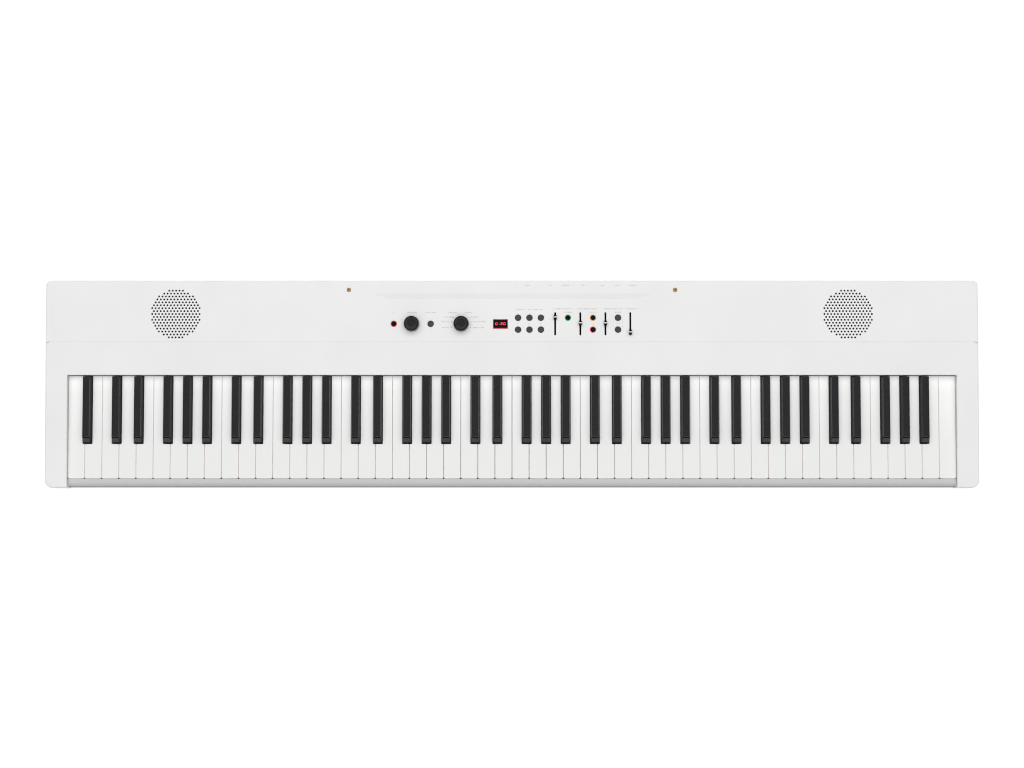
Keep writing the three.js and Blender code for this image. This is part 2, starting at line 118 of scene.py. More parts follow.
class Nodes:
    """A short way to write a material's nodes."""

    def __init__(self, name):
        self.material = bpy.data.materials.new(name)
        self.material.use_nodes = True
        self.tree = self.material.node_tree
        self.shader = self.tree.nodes["Principled BSDF"]
        self.place = self.tree.nodes.new("ShaderNodeTexCoord").outputs["Object"]

    def add(self, kind, inputs=None, **settings):
        node = self.tree.nodes.new(kind)
        for key, value in settings.items():
            setattr(node, key, value)
        for key, value in (inputs or {}).items():
            self.feed(node.inputs[key], value)
        return node

    def feed(self, socket, value):
        """Links another node's output to a socket, or sets the socket's own value."""
        if isinstance(value, bpy.types.NodeSocket):
            self.tree.links.new(value, socket)
        else:
            socket.default_value = (*value, 1) if socket.type == "RGBA" else value

    def noise(self, scale, detail=3.0, place=None):
        inputs = {"Vector": place or self.place, "Scale": scale, "Detail": detail}
        return self.add("ShaderNodeTexNoise", inputs).outputs["Fac"]

    def stretched(self, scale):
        return self.add("ShaderNodeMapping", {"Vector": self.place, "Scale": scale}).outputs["Vector"]

    def span(self, value, low, high, source=(0.3, 0.7)):
        start, end = source
        inputs = {"Value": value, "From Min": start, "From Max": end, "To Min": low, "To Max": high}
        return self.add("ShaderNodeMapRange", inputs).outputs["Result"]

    def mix(self, factor, first, second):
        inputs = {0: factor, 6: first, 7: second}
        return self.add("ShaderNodeMix", inputs, data_type="RGBA").outputs[2]

    def bump(self, height, distance, strength=1.0, below=None):
        inputs = {"Height": height, "Distance": distance, "Strength": strength}
        if below is not None:
            inputs["Normal"] = below
        return self.add("ShaderNodeBump", inputs).outputs["Normal"]

    def connect(self, name, value):
        self.feed(self.shader.inputs[name], value)
        return self

    def tint(self, pattern, colour, share):
        """Lets the surface vary between the colour and that share of it."""
        darker = tuple(c * share for c in colour)
        self.connect("Base Color", self.mix(self.span(pattern, 0.0, 1.0), darker, colour))


def moulded(name, colour, roughness, grain=2600, depth=0.012 * MM, variation=0.03, shine=0.5):
    """Moulded plastic: a fine spark-eroded grain, faint long-range unevenness and handling marks."""
    m = Nodes(name)
    m.tint(m.noise(14, 2), colour, 1 - variation)
    m.connect("Roughness", m.span(m.noise(90, 4), roughness - 0.05, roughness + 0.05))
    wavy = m.bump(m.noise(22, 1), 0.03 * MM, 0.4)
    m.connect("Normal", m.bump(m.noise(grain, 2), depth, 0.7, below=wavy))
    m.connect("Specular IOR Level", shine)
    return m.material


def polished(name, colour, roughness, swirl=0.02, shine=0.5, lift=0.0, ior=1.49):
    """Glossy moulded plastic with very fine rub marks along its length.

    lift is a faint light of its own that grows towards the rear, where the light passed on between
    the black keys and under the surround's edge would be.
    """
    m = Nodes(name)
    if lift:
        depth = m.add("ShaderNodeSeparateXYZ", {"Vector": m.place}).outputs["Y"]
        m.connect("Emission Color", (1.0, 1.0, 1.0))
        broad = m.span(depth, 0.2 * lift, lift, (-85 * MM, 8 * MM))
        near_slot = m.span(depth, 0.0, 0.6 * lift, (-12 * MM, 10 * MM))
        both = m.add("ShaderNodeMath", {0: broad, 1: near_slot}, operation="ADD").outputs["Value"]
        m.connect("Emission Strength", both)
    rub = m.noise(220, 3, m.stretched((3.0, 0.4, 3.0)))
    m.tint(m.noise(30, 2), colour, 1 - swirl)
    m.connect("Roughness", m.span(rub, roughness - 0.02, roughness + 0.03))
    m.connect("Normal", m.bump(rub, 0.004 * MM, 0.25))
    m.connect("IOR", ior).connect("Specular IOR Level", shine)
    return m.material


def rubber(name, colour):
    m = Nodes(name)
    dust = m.span(m.noise(300, 5), 0.0, 1.0, (0.45, 0.75))
    m.connect("Base Color", m.mix(dust, colour, tuple(c * 1.5 + 0.004 for c in colour)))
    m.connect("Roughness", m.span(m.noise(120, 3), 0.62, 0.8))
    m.connect("Normal", m.bump(m.noise(3800, 2), 0.02 * MM, 0.8))
    return m.material


def metal(name, colour, roughness):
    m = Nodes(name)
    turned = m.noise(900, 2, m.stretched((1.0, 1.0, 6.0)))
    m.tint(m.noise(160, 3), colour, 0.8)
    m.connect("Metallic", 1.0)
    m.connect("Roughness", m.span(turned, roughness - 0.06, roughness + 0.08))
    m.connect("Normal", m.bump(turned, 0.006 * MM, 0.5))
    return m.material


def felt(name, colour):
    m = Nodes(name)
    fibre = m.noise(2600, 6, m.stretched((0.6, 1.6, 1.6)))
    m.tint(fibre, colour, 0.6)
    m.connect("Roughness", 0.95).connect("Sheen Weight", 0.3)
    m.connect("Normal", m.bump(fibre, 0.15 * MM, 0.8))
    return m.material


def glowing(name, colour, strength, body):
    """Tinted plastic that gives off light, a little unevenly: lit from within in the display and
    rings, painted light on the key sides and the walls beside the keys.
    """
    m = Nodes(name)
    m.tint(m.noise(500, 2), body, 0.8)
    m.connect("Roughness", m.span(m.noise(900, 2), 0.22, 0.34))
    m.connect("Emission Color", colour).connect("Emission Strength", strength)
    return m.material


def circuit(name):
    """Green solder mask over copper tracks."""
    m = Nodes(name)
    tracks = m.add("ShaderNodeTexBrick", {"Vector": m.place, "Scale": 60.0, "Mortar Size": 0.02})
    copper = m.span(tracks.outputs["Fac"], 0.0, 1.0, (0.0, 1.0))
    m.connect("Base Color", m.mix(copper, (0.012, 0.11, 0.045), (0.03, 0.2, 0.08)))
    m.connect("Roughness", m.span(m.noise(200, 3), 0.3, 0.45))
    m.connect("Normal", m.bump(tracks.outputs["Fac"], 0.04 * MM, 0.6))
    return m.material


MATERIAL = {
    "shell": moulded("shell_white", (0.815, 0.815, 0.812), 0.46),
    # painted light: a faint glow on the walls beside the keys stands in for light bounced onto them
    # from the keys and the white surroundings
    "shell_inner_painted_light": glowing("shell_white_inner_painted_light", (1.0, 0.98, 0.97), 0.25, (0.80, 0.80, 0.795)),
    # painted shade: the music-rest groove's floor is a slightly darker white, standing in for the
    # shade in the recess
    "groove": moulded("shell_white_groove_painted_shade", (0.78, 0.777, 0.78), 0.5),
    "rail": moulded("rail_grey", (0.565, 0.565, 0.57), 0.48),
    # painted shade: the rail's front face is a darker grey, standing in for the shade on a face
    # turned away from the light
    "rail_front": moulded("rail_grey_front", (0.36, 0.36, 0.362), 0.6, shine=0.2),
    "ivory": polished("key_white", (0.785, 0.785, 0.778), 0.24, 0.01, lift=0.12),
    # painted light: a faint warm glow on the white keys' sides makes the gaps between keys lighter,
    # standing in for light bounced between the keys
    "ivory_side_painted_light": glowing("key_white_side_painted_light", (1.0, 0.92, 0.89), 0.15, (0.80, 0.76, 0.74)),
    "ebony_top": moulded("key_black_top", (0.009, 0.0082, 0.010), 0.45, 1800, 0.02 * MM, 0.1, 0.17),
    "ebony_side": polished("key_black_side", (0.003, 0.003, 0.004), 0.3, 0.1, 0.05),
    "ebony_nose": polished("key_black_nose", (0.007, 0.007, 0.008), 0.2, 0.1, 0.75),
    "ebony_edge": polished("key_black_edge", (0.008, 0.008, 0.009), 0.2, 0.1, 1.0, ior=1.75),
    "charcoal": moulded("knob_charcoal", (0.007, 0.007, 0.008), 0.3, 2200, 0.012 * MM, 0.1, 0.15),
    # painted highlight: a lighter charcoal on the edge of a knob's dish stands in for the light that
    # edge catches
    "charcoal_ring": moulded(
        "knob_charcoal_ring", (0.02, 0.02, 0.022), 0.3, 2200, 0.012 * MM, 0.1, 0.3
    ),
    "button": rubber("button_grey", (0.038, 0.034, 0.042)),
    "jet": polished("jet_black", (0.002, 0.002, 0.002), 0.4, 0.02, 0.06),
    "cavity": moulded("cavity_dark", (0.012, 0.008, 0.007), 0.7, shine=0.1),
    "cone": felt("speaker_cone", (0.026, 0.015, 0.012)),
    "frame": moulded("frame_dark", (0.05, 0.05, 0.052), 0.55),
    "board": circuit("circuit_board"),
    "brass": metal("brass", (0.56, 0.40, 0.17), 0.3),
    "steel": metal("steel", (0.55, 0.55, 0.56), 0.3),
    "felt": felt("felt_brown", (0.24, 0.17, 0.15)),
    "foot": rubber("foot_rubber", (0.016, 0.016, 0.017)),
    "print": moulded("print_grey", (0.50, 0.47, 0.47), 0.6),
    "print_dark": moulded("print_dark_grey", (0.16, 0.14, 0.14), 0.6),
    "stripe": moulded("stripe_white", (0.90, 0.89, 0.88), 0.5),
    "crimson": glowing("display_edge", (0.70, 0.02, 0.06), 0.26, (0.45, 0.014, 0.04)),
    "digit": glowing("display_digit", (0.95, 0.06, 0.10), 2.4, (0.5, 0.02, 0.04)),
    "red": glowing("ring_red", (0.80, 0.02, 0.06), 0.42, (0.5, 0.01, 0.03)),
    "green": glowing("ring_green", (0.03, 0.55, 0.06), 0.30, (0.03, 0.32, 0.05)),
    "amber": glowing("ring_amber", (0.80, 0.36, 0.03), 0.30, (0.5, 0.24, 0.03)),
}


# ---- Mesh helpers ----

SHARP_ANGLE = math.radians(38)


def new_object(name, bm):
    mesh = bpy.data.meshes.new(name)
    bm.to_mesh(mesh)
    bm.free()
    made = bpy.data.objects.new(name, mesh)
    bpy.context.scene.collection.objects.link(made)
    return made


def clean_normals(piece):
    piece.data.set_sharp_from_angle(angle=SHARP_ANGLE)
    weigh = piece.modifiers.new("flat_faces", "WEIGHTED_NORMAL")
    weigh.keep_sharp = True


def finish_piece(name, bm, materials, body, replaces=()):
    """Turns the bmesh into a smooth-shaded piece that rides on body."""
    bmesh.ops.recalc_face_normals(bm, faces=bm.faces)
    piece = new_object(name, bm)
    for material in materials if isinstance(materials, list) else [materials]:
        piece.data.materials.append(MATERIAL[material])
    piece.data.polygons.foreach_set("use_smooth", [True] * len(piece.data.polygons))
    clean_normals(piece)
    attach(piece, body)
    if replaces:
        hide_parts(*replaces)
    return piece


def outline(corners, inset=0.0, rounding=0.0, steps=6):
    """Points (x, y, weight) of a polygon with rounded corners, moved inwards.

    Each corner is (x, y, radius, weight). weight says how much of the edge rounding the side that
    starts there takes. A radius of None keeps the corner as one point.
    """
    points = []
    count = len(corners)
    for i, (x, y, radius, weight) in enumerate(corners):
        before, after = corners[i - 1], corners[(i + 1) % count]
        a = Vector((x - before[0], y - before[1])).normalized()
        b = Vector((after[0] - x, after[1] - y)).normalized()
        side_a = Vector((-a.y, a.x))
        in_a, in_b = inset + rounding * before[3], inset + rounding * weight
        turn = a.x * b.y - a.y * b.x
        if abs(turn) < 1e-6:
            points.append((x + side_a.x * in_a, y + side_a.y * in_a, weight))
            continue
        corner = meet(x, y, a, b, in_a, in_b)
        if radius is None:
            points.append((corner.x, corner.y, weight))
            continue
        moved = (in_a + in_b) / 2
        bend = max(radius - moved, 0.03 * MM) if turn > 0 else radius + moved
        angle = math.atan2(turn, a.dot(b))
        start = corner - a * bend * math.tan(abs(angle) / 2)
        centre = start + side_a * (bend if turn > 0 else -bend)
        arm = start - centre
        for step in range(steps + 1):
            share = step / steps
            spoke = Matrix.Rotation(angle * share, 2) @ arm
            blend = before[3] * (1 - share) + weight * share
            points.append((centre.x + spoke.x, centre.y + spoke.y, blend))
    return points


def meet(x, y, a, b, in_a, in_b):
    """Where the side along a, moved inwards, crosses the side along b, moved inwards."""
    point_a = Vector((x - a.y * in_a, y + a.x * in_a))
    point_b = Vector((x - b.y * in_b, y + b.x * in_b))
    cross = a.x * b.y - a.y * b.x
    gap = point_b - point_a
    return point_a + a * ((gap.x * b.y - gap.y * b.x) / cross)


def skin(bm, rings, material=0, closed=False):
    """Joins successive rings with quads, and if closed the last to the first; returns the rows."""
    rows = [[bm.verts.new(point) for point in ring] for ring in rings]
    following = rows[1:] + rows[:1] if closed else rows[1:]
    for low, high in zip(rows, following):
        for i in range(len(low)):
            j = (i + 1) % len(low)
            bm.faces.new((low[i], low[j], high[j], high[i])).material_index = material
    return rows


def cap(bm, row, holes=(), material=0):
    """Closes a ring with a flat face, or with triangles that leave the holes' rings open."""
    if not holes:
        bm.faces.new(row).material_index = material
        return
    loops = [row, *holes]
    verts = [v for loop in loops for v in loop]
    areas, first = [], 0
    for loop in loops:
        areas.append(list(range(first, first + len(loop))))
        first += len(loop)
    flat = [v.co.xy for v in verts]
    _, _, triples, sources, _, owners = delaunay_2d_cdt(flat, [], areas, 1, 1e-7)
    for triple, owner in zip(triples, owners):
        if owner == [0]:
            bm.faces.new([verts[sources[i][0]] for i in triple]).material_index = material


def solid(bm, rings, material=0):
    """A skin over the rings with a flat face at each end."""
    rows = skin(bm, rings, material)
    cap(bm, rows[0], material=material)
    cap(bm, rows[-1], material=material)
    return rows


def move(bm, spot, angle, axis="Z"):
    turn = Matrix.Translation(spot) @ Matrix.Rotation(angle, 4, axis)
    bmesh.ops.transform(bm, matrix=turn, verts=bm.verts)


def paint(bm, material, chosen):
    """Gives one of the piece's further materials to the faces that are chosen."""
    bm.normal_update()
    for face in bm.faces:
        if chosen(face, face.calc_center_median()):
            face.material_index = material


def quarter(radius, steps=4):
    """(inset, drop) pairs round an outside edge, from the flat top to the side."""
    angles = [math.pi / 2 * i / steps for i in range(steps + 1)]
    return [(radius * (1 - math.sin(a)), radius * (1 - math.cos(a))) for a in angles]


def upright(points, height):
    """Lifts plan points to a height, which may be a function of (x, y, weight)."""
    return [(x, y, height(x, y, w) if callable(height) else height) for x, y, w in points]


def round_points(x, y, radius, segments):
    angles = [2 * math.pi * i / segments for i in range(segments)]
    return [(x + radius * math.cos(a), y + radius * math.sin(a)) for a in angles]


def turned(bm, profile, centre, segments=48, closed=False):
    """Revolves (radius, height) points round an upright axis; a closed profile makes a ring."""
    rings = []
    for radius, z in profile:
        rings.append([(x, y, z) for x, y in round_points(centre.x, centre.y, radius, segments)])
    if closed:
        skin(bm, rings, closed=True)
    else:
        solid(bm, rings)


def offset(start, moves):
    """Profile points that lie the given millimetres from a start point."""
    return [(start[0] + dx * MM, start[1] + dz * MM) for dx, dz in moves]


def centred(x, y, width, height, radius):
    return rectangle(x - width / 2, x + width / 2, y - height / 2, y + height / 2, radius)


def rectangle(x0, x1, y0, y1, radius):
    return [(x, y, radius, 1) for x, y in ((x0, y0), (x1, y0), (x1, y1), (x0, y1))]


def tapered(x, half_front, half_rear, y0, y1, front_radius, rear_radius):
    """A plan with four corners whose front and rear have widths and corner radii of their own."""
    return [
        (x - half_front, y0, front_radius, 1), (x + half_front, y0, front_radius, 1),
        (x + half_rear, y1, rear_radius, 1), (x - half_rear, y1, rear_radius, 1),
    ]


def tablet(bm, corners, z0, z1, edge, steps=4, material=0, edge_steps=3):
    """A plate with rounded corners and a rounded top edge."""
    rings = [upright(outline(corners, steps=steps), z0)]
    for inset, drop in reversed(quarter(edge, edge_steps)):
        plan = outline(corners, rounding=inset, steps=steps)
        rings.append(upright(plan, lambda x, y, w, d=drop: z1 - d * w))
    return solid(bm, rings, material)


def bar_along_x(bm, profile, half):
    """A side profile of (y, z, radius, weight) corners run from -half to half."""
    solid(bm, [[(x, y, z) for y, z, _ in outline(profile, steps=3)] for x in (-half, half)])


# ---- Housing ----

EDGE = 2.6 * MM             # rounding of the housing's outer edges
SEAM_SHARE = 0.02           # share of that rounding along the seam
COVER_LIP_Z = cover_low.z
UNDER_STRIP_Z = 50 * MM     # lower edge of the walls that the keys pass under
HOLE_CHAMFER = 0.3 * MM


def circle(x, y, radius, segments=20):
    """A round hole, as a function that gives its outline grown by some amount."""
    return lambda grow: [(*point, 1.0) for point in round_points(x, y, radius + grow, segments)]


def window(plan):
    """A hole with four sides, as a function of the same kind."""
    return lambda grow: outline(plan, inset=-grow, steps=5)


GRILLE_ROWS = (5, 8, 11, 12, 13, 14, 15, 14, 15, 14, 15, 14, 13, 12, 11, 8, 5)
GRILLE_PITCH = 4.65 * MM
GRILLE_HOLE = 1.36 * MM


def grille_holes(centre):
    """The staggered rows of round holes over one speaker."""
    row_step = GRILLE_PITCH * math.sqrt(3) / 2
    holes = []
    for row, count in enumerate(GRILLE_ROWS):
        y = centre.y + (row - (len(GRILLE_ROWS) - 1) / 2) * row_step
        for i in range(count):
            x = centre.x + (i - (count - 1) / 2) * GRILLE_PITCH
            holes.append(circle(x, y, GRILLE_HOLE, 12))
    return holes


LIT = {
    "power_button": "red", "effect_button": "green",
    "metronome_button": "amber", "record_button": "red",
}
BUTTONS = [node for node in frame["nodes"] if "_button" in node]
KNOBS = ["volume_knob", "selector_knob"]
SLIDERS = ["slider_1", "slider_2", "slider_3", "slider_4"]
SOCKETS = ["rest_socket_left", "rest_socket_right"]
SLOT_LENGTH = 32 * MM
SLOT_WIDTH = 2.5 * MM
BUTTON_HOLE = 4.35 * MM
KNOB_HOLE = 4 * MM
SOCKET_HOLE = 3 * MM


def panel_holes():
    def round_hole(node, radius, segments):
        centre = middle(node)
        return circle(centre.x, centre.y, radius, segments)

    holes = grille_holes(middle("speaker_left")) + grille_holes(middle("speaker_right"))
    holes += [round_hole(node, BUTTON_HOLE, 28) for node in BUTTONS]
    holes += [round_hole(node, KNOB_HOLE, 24) for node in KNOBS]
    for node in SLIDERS:
        slot = centred(middle(node).x, CONTROL_Y, SLOT_WIDTH, SLOT_LENGTH, SLOT_WIDTH * 0.49)
        holes.append(window(slot))
    low, high = display_corners()
    holes.append(window(rectangle(low.x, high.x, low.y, high.y, 0.8 * MM)))
    holes += [round_hole(node, SOCKET_HOLE, 20) for node in SOCKETS]
    return holes


def display_corners():
    """The display's opening in the panel: the module's carrier is 2 mm larger on each side."""
    low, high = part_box("display_module")
    border = Vector((2 * MM, 2 * MM, 0))
    return low + border, high - border


# the groove for a music rest, and how far in its edge's rings lie and how deep
GROOVE = tapered(0, 171 * MM, 196 * MM, 115.1 * MM, 123.0 * MM, 1 * MM, 1 * MM)
GROOVE_EDGE = ((-0.9, 0.0), (-0.4, 0.06), (0.4, 0.35), (1.0, 0.5))


def seam_steps(y):
    """Points along the seam where the wall over the keys begins and ends."""
    step = KEYBED_HALF + 3 * MM
    places = (-step - 0.2 * MM, -step, step, step + 0.2 * MM)
    return [(x, y, None, SEAM_SHARE) for x in places]


def cover_corners():
    return [
        (-HALF_WIDTH, SEAM_Y, 0.4 * MM, SEAM_SHARE), *seam_steps(SEAM_Y),
        (HALF_WIDTH, SEAM_Y, 0.4 * MM, 1),
        (HALF_WIDTH, REAR_Y, REAR_CORNER, 1), (-HALF_WIDTH, REAR_Y, REAR_CORNER, 1),
    ]


def eased_edge(corners, top, steps):
    """Rings from a shell's top face over its rounded outer edge."""
    rings = []
    for inset, drop in quarter(EDGE):
        plan = outline(corners, rounding=inset, steps=steps)
        rings.append(upright(plan, lambda x, y, w, d=drop: top(x, y) - d * w))
    return rings


def thin_wall(corners, top, lip, steps):
    """Rings of a shell's wall: the lip's outside and inside, then the inside of the top."""
    outer, inner = outline(corners, steps=steps), outline(corners, inset=WALL, steps=steps)
    return [
        upright(outer, lambda x, y, w: lip(x, y)), upright(inner, lambda x, y, w: lip(x, y)),
        upright(inner, lambda x, y, w: top(x, y) - WALL),
    ]


def make_top_cover():
    bm = bmesh.new()
    inner = KEYBED_HALF + 3.1 * MM

    def top(x, y):
        return PANEL_Z

    def lip(x, y):
        return UNDER_STRIP_Z if abs(x) < inner and y < SEAM_Y + 5 * MM else COVER_LIP_Z

    corners = cover_corners()
    rows = skin(bm, eased_edge(corners, top, 8) + thin_wall(corners, top, lip, 8))
    tops, unders = [], []
    edge = HOLE_CHAMFER
    for hole in panel_holes():
        steps = ((edge, 0), (edge * 0.3, edge * 0.3), (0, edge), (0, WALL))
        hole_rows = skin(bm, [upright(hole(grow), PANEL_Z - drop) for grow, drop in steps])
        tops.append(hole_rows[0])
        unders.append(hole_rows[-1])
    steps = [(inset * MM, PANEL_Z - drop * MM) for inset, drop in GROOVE_EDGE]
    groove = skin(bm, [upright(outline(GROOVE, inset, steps=3), z) for inset, z in steps])
    tops.append(groove[0])
    # painted shade: the groove's floor takes the darker white
    cap(bm, groove[-1], material=1)
    cap(bm, rows[0], tops)
    cap(bm, rows[-1], unders)
    # the rear wall leans forward a little towards the top
    for v in bm.verts:
        nearness = (v.co.y - (REAR_Y - 9 * MM)) / (9 * MM)
        if nearness > 0:
            v.co.y -= 2 * MM * nearness * (v.co.z - COVER_LIP_Z) / (PANEL_Z - COVER_LIP_Z)
    cover = finish_piece("panel_cover", bm, ["shell", "groove"], HOUSING, ["top_cover"])
    cut_window(cover)


def cut_window(cover):
    """Cuts the opening for the rear connectors."""
    low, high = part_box("rear_jack_block")
    bm = bmesh.new()
    grown = (low.x - 1 * MM, high.x + 1 * MM, low.z - 0.5 * MM, high.z + 0.5 * MM)
    points = outline(rectangle(*grown, 1.5 * MM), steps=5)
    solid(bm, [[(x, y, z) for x, z, _ in points] for y in (REAR_Y - 9 * MM, REAR_Y + 5 * MM)])
    bmesh.ops.recalc_face_normals(bm, faces=bm.faces)
    cutter = new_object("window_cutter", bm)
    cut = cover.modifiers.new("jack_window", "BOOLEAN")
    cut.object = cutter
    cut.solver = "EXACT"
    cover.modifiers.move(1, 0)
    bpy.context.view_layer.update()
    evaluated = cover.evaluated_get(bpy.context.evaluated_depsgraph_get())
    made = bpy.data.meshes.new_from_object(evaluated)
    cover.modifiers.clear()
    cover.data = made
    clean_normals(cover)
    bpy.data.objects.remove(cutter)


CHEEK_FRONT_Z = 54 * MM


def surround_top(x, y):
    share = (y - FRONT_Y) / (surround_high.y - FRONT_Y)
    return CHEEK_FRONT_Z + (surround_high.z - CHEEK_FRONT_Z) * share


def surround_corners(rear_radius):
    rear = SEAM_Y - 0.02 * MM
    return [
        (-HALF_WIDTH, FRONT_Y, FRONT_CORNER, 1), (-KEYBED_HALF, FRONT_Y, 1 * MM, 0.12),
        (-KEYBED_HALF, SLOT_Y, 0.8 * MM, 0.3), (KEYBED_HALF, SLOT_Y, 0.8 * MM, 0.12),
        (KEYBED_HALF, FRONT_Y, 1 * MM, 1), (HALF_WIDTH, FRONT_Y, FRONT_CORNER, 1),
        (HALF_WIDTH, rear, rear_radius, SEAM_SHARE), *reversed(seam_steps(rear)),
        (-HALF_WIDTH, rear, rear_radius, 1),
    ]


def make_surround():
    bm = bmesh.new()
    inner = KEYBED_HALF + 3.1 * MM

    def lip(x, y):
        near_slot = abs(x) < KEYBED_HALF - 0.5 * MM and y < SLOT_Y + 5 * MM
        near_seam = abs(x) < inner and y > SLOT_Y + 20 * MM
        return UNDER_STRIP_Z if near_slot or near_seam else surround_low.z

    square = surround_corners(0.8 * MM)
    rings = eased_edge(surround_corners(8 * MM), surround_top, 6)
    rings.append(upright(outline(square), lambda x, y, w: surround_top(x, y) - EDGE * 1.05))
    rings += thin_wall(square, surround_top, lip, 6)
    solid(bm, rings)

    def on_inner_wall(face, spot):
        beside_keys = abs(abs(spot.x) - KEYBED_HALF) < 0.5 * MM and spot.y < SLOT_Y
        return beside_keys and abs(face.normal.x) > 0.9 and spot.z > 49 * MM

    # painted light: the walls beside the keys take the faintly glowing white
    paint(bm, 1, on_inner_wall)
    finish_piece("key_frame_cover", bm, ["shell", "shell_inner_painted_light"], HOUSING, ["key_surround"])


# how far behind its front and how high the rail's rolled face is, in millimetres
RAIL_ROLL = (
    (0.0, 31.0), (1.1, 37.0), (1.5, 40.5), (2.3, 43.2), (3.8, 45.2), (6.4, 46.5), (10.4, 47.1),
)


def make_front_rail():
    """The rail in front of the keys, which rolls over and down towards the player."""
    bm = bmesh.new()
    inner, outer = white_low.y - 0.2 * MM, rail_low.y
    profile = [
        (outer, rail_low.z, 0.5 * MM, 0), (outer + WALL, rail_low.z, 0.5 * MM, 0),
        (outer + WALL, 33 * MM, 0.8 * MM, 0), (inner - 2.9 * MM, 38 * MM, 0.8 * MM, 0),
        (inner - 2.9 * MM, 30 * MM, 0.5 * MM, 0), (inner, 30 * MM, 0.5 * MM, 0),
        (inner, 47.3 * MM, 0.1 * MM, 0),
    ]
    profile += [(outer + y * MM, z * MM, 0.5 * MM, 0) for y, z in reversed(RAIL_ROLL)]
    bar_along_x(bm, profile, KEYBED_HALF - 0.2 * MM)
    # painted shade: the faces turned to the front take the darker grey
    paint(bm, 1, lambda face, spot: face.normal.y < -0.93)
    finish_piece("keyslip_rail", bm, ["rail", "rail_front"], HOUSING, ["front_rail"])


SCREW_XS = (-600, -400, -200, 0, 200, 400, 600)
SCREW_YS = (-128, 0, 124)
FEET = [node for node in frame["nodes"] if node.startswith("foot_")]


def screw_places():
    places = [(x * MM, y * MM) for x in SCREW_XS for y in SCREW_YS]
    feet = [middle(node).xy for node in FEET]
    return [p for p in places if all((Vector(p) - foot).length > 30 * MM for foot in feet)]


def make_bottom_case():
    """The lower shell: a tray with an undercut front and rear, and a counterbore for each screw."""
    bm = bmesh.new()
    ends = (CASE_FRONT_Y, REAR_Y, FRONT_CORNER, REAR_CORNER)
    corners = tapered(0, HALF_WIDTH, HALF_WIDTH, *ends)
    floor_z, lip_z = case_low.z, case_high.z
    undercut = 9 * MM
    steps = [(undercut * 0.6 + inset, floor_z + drop) for inset, drop in quarter(2 * MM)]
    steps += [
        (0.4 * MM, floor_z + undercut), (0, floor_z + undercut + 1.5 * MM), (0, lip_z - 0.4 * MM),
        (0.4 * MM, lip_z), (WALL, lip_z), (WALL + undercut * 0.7, floor_z + WALL),
    ]
    rows = skin(bm, [upright(outline(corners, inset, steps=8), z) for inset, z in steps])
    bores = []
    for x, y in screw_places():
        bore = circle(x, y, 4.2 * MM)
        steps = ((0.3, 0), (0, 0.3), (-0.2, 2.2))
        bore_rows = skin(bm, [upright(bore(grow * MM), floor_z + up * MM) for grow, up in steps])
        bores.append(bore_rows[0])
        cap(bm, bore_rows[-1])
    cap(bm, rows[0], bores)
    cap(bm, rows[-1])
    finish_piece("lower_case", bm, "shell", HOUSING, ["bottom_case"])


def make_screws():
    """Pan-head screws with a cross recess, sunk in the underside."""
    bm = bmesh.new()
    face_z = case_low.z + 0.5 * MM
    head = offset((0, face_z), ((3.0, 1.65), (3.0, 0.8), (2.6, 0.2), (2.2, 0)))
    for x, y in screw_places():
        cross = cross_outline(x, y, 1.9 * MM, 0.45 * MM)
        rows = skin(bm, [[(px, py, z) for px, py in round_points(x, y, r, 24)] for r, z in head])
        cap(bm, rows[0])
        recess = skin(bm, [[(px, py, z) for px, py in cross] for z in (face_z, face_z + 1 * MM)])
        cap(bm, rows[-1], [recess[0]])
        cap(bm, recess[-1])
    finish_piece("case_screws", bm, "steel", HOUSING)


def cross_outline(x, y, reach, half):
    points = []
    for turn in range(4):
        cos, sin = math.cos(math.pi / 2 * turn), math.sin(math.pi / 2 * turn)
        for px, py in ((reach, -half), (reach, half), (half, half)):
            points.append((x + px * cos - py * sin, y + px * sin + py * cos))
    return points


# from the rim inwards: how far in and how high, with a shallow ring groove in the sole
FOOT_TREAD = ((0.6, 1.0), (1.0, 0.35), (1.6, 0.0), (3.5, 0.0), (4.0, 0.5), (5.2, 0.5), (5.7, 0.0))


def make_feet():
    for node in FEET:
        radius, top = half_width(node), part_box(node)[1].z
        bm = bmesh.new()
        profile = [(radius - 0.5 * MM, top), (radius, top - 0.6 * MM)]
        profile += [(radius - inset * MM, z * MM) for inset, z in FOOT_TREAD]
        profile.append((0.5 * MM, 0.0))
        turned(bm, profile, middle(node))
        finish_piece(f"{node}_pad", bm, "foot", HOUSING, [node])


def make_felt():
    """The felt strip under the lip that the keys pass beneath."""
    bm = bmesh.new()
    front, wall = SLOT_Y - 1.0 * MM, SLOT_Y - 0.05 * MM
    rear, under = SLOT_Y + 2.5 * MM, UNDER_STRIP_Z - 0.1 * MM
    foot, head = 49 * MM, 52 * MM
    profile = [
        (front, foot, 0.2 * MM, 0), (rear, foot, 0.2 * MM, 0), (rear, under, 0.2 * MM, 0),
        (wall, under, 0.1 * MM, 0), (wall, head, 0.2 * MM, 0), (front, head, 0.3 * MM, 0),
    ]
    bar_along_x(bm, profile, KEYBED_HALF - 1 * MM)
    finish_piece("name_felt", bm, "felt", HOUSING)


# ---- Keys ----

WHITE_COUNT = 52
LETTERS = "abcdefg"
SINGLE_OCTAVE = 4
BLACK_SHIFT = abs(middle("key_c_sharp_4").x - (white_high.x + KEY_GAP / 2))
SHARP_SHIFT = {"c": -BLACK_SHIFT, "d": BLACK_SHIFT, "f": -BLACK_SHIFT, "g": 0.0, "a": BLACK_SHIFT}
KEY_EDGE = 0.4 * MM
SHANK_CLEARANCE = 0.8 * MM
END_GAP = 0.6 * MM          # beside the first and the last white key
KEY_REAR_Y = 95 * MM


